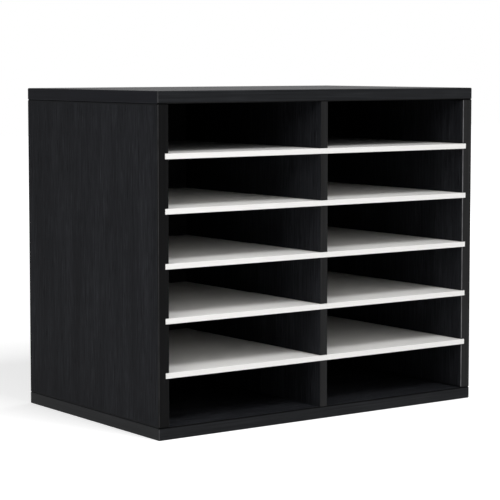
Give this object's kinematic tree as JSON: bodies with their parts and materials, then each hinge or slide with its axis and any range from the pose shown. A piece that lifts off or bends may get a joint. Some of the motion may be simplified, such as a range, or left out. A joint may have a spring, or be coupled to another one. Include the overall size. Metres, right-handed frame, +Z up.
{
  "type": "mail sorter",
  "caption": "Desktop mail sorter: open-fronted black woodgrain case with a center divider and thin white shelves that slide out, making flat compartments for papers.",
  "frame": {"origin": "middle of the footprint, on the surface that the case stands on", "axes": "+X to the right as seen from the open front, -Y the way the open front faces, +Z up"},
  "size_m": [0.49, 0.307, 0.41],
  "materials": {
    "black_woodgrain_laminate": "satin black laminate with a fine pressed woodgrain, on particle board",
    "black_edge_band": "smooth satin black edge band with rounded arrises",
    "black_hardboard": "thin hardboard, painted matt black",
    "white_laminate": "satin warm white laminate on fibreboard",
    "white_edge_band": "smooth white edge band",
    "black_screw_steel": "blackened steel",
    "beech_dowel": "plain beech, pressed grooves left out"
  },
  "bodies": {
    "case": {"top_panel": "black_woodgrain_laminate", "bottom_panel": "black_woodgrain_laminate", "left_side_panel": "black_woodgrain_laminate", "right_side_panel": "black_woodgrain_laminate", "center_divider": "black_woodgrain_laminate", "top_front_band": "black_edge_band", "top_rear_band": "black_edge_band", "top_left_band": "black_edge_band", "top_right_band": "black_edge_band", "bottom_front_band": "black_edge_band", "bottom_rear_band": "black_edge_band", "bottom_left_band": "black_edge_band", "bottom_right_band": "black_edge_band", "left_side_front_band": "black_edge_band", "left_side_rear_band": "black_edge_band", "left_side_top_band": "black_edge_band", "left_side_bottom_band": "black_edge_band", "right_side_front_band": "black_edge_band", "right_side_rear_band": "black_edge_band", "right_side_top_band": "black_edge_band", "right_side_bottom_band": "black_edge_band", "divider_front_bands": "black_edge_band", "back_panel": "black_hardboard", "top_screws": "black_screw_steel", "bottom_screws": "black_screw_steel", "side_dowels": "beech_dowel", "divider_dowels": "beech_dowel"},
    "shelf_1": {"shelf_1": "white_laminate", "shelf_1_front_band": "white_edge_band"},
    "shelf_2": {"shelf_2": "white_laminate", "shelf_2_front_band": "white_edge_band"},
    "shelf_3": {"shelf_3": "white_laminate", "shelf_3_front_band": "white_edge_band"},
    "shelf_4": {"shelf_4": "white_laminate", "shelf_4_front_band": "white_edge_band"},
    "shelf_5": {"shelf_5": "white_laminate", "shelf_5_front_band": "white_edge_band"}
  },
  "joints": [
    {"name": "shelf_1_slide", "type": "slide", "parent": "case", "child": "shelf_1", "axis": [0, -1, 0], "range_m": [0, 0.29]},
    {"name": "shelf_2_slide", "type": "slide", "parent": "case", "child": "shelf_2", "axis": [0, -1, 0], "range_m": [0, 0.29]},
    {"name": "shelf_3_slide", "type": "slide", "parent": "case", "child": "shelf_3", "axis": [0, -1, 0], "range_m": [0, 0.29]},
    {"name": "shelf_4_slide", "type": "slide", "parent": "case", "child": "shelf_4", "axis": [0, -1, 0], "range_m": [0, 0.29]},
    {"name": "shelf_5_slide", "type": "slide", "parent": "case", "child": "shelf_5", "axis": [0, -1, 0], "range_m": [0, 0.29]}
  ]
}
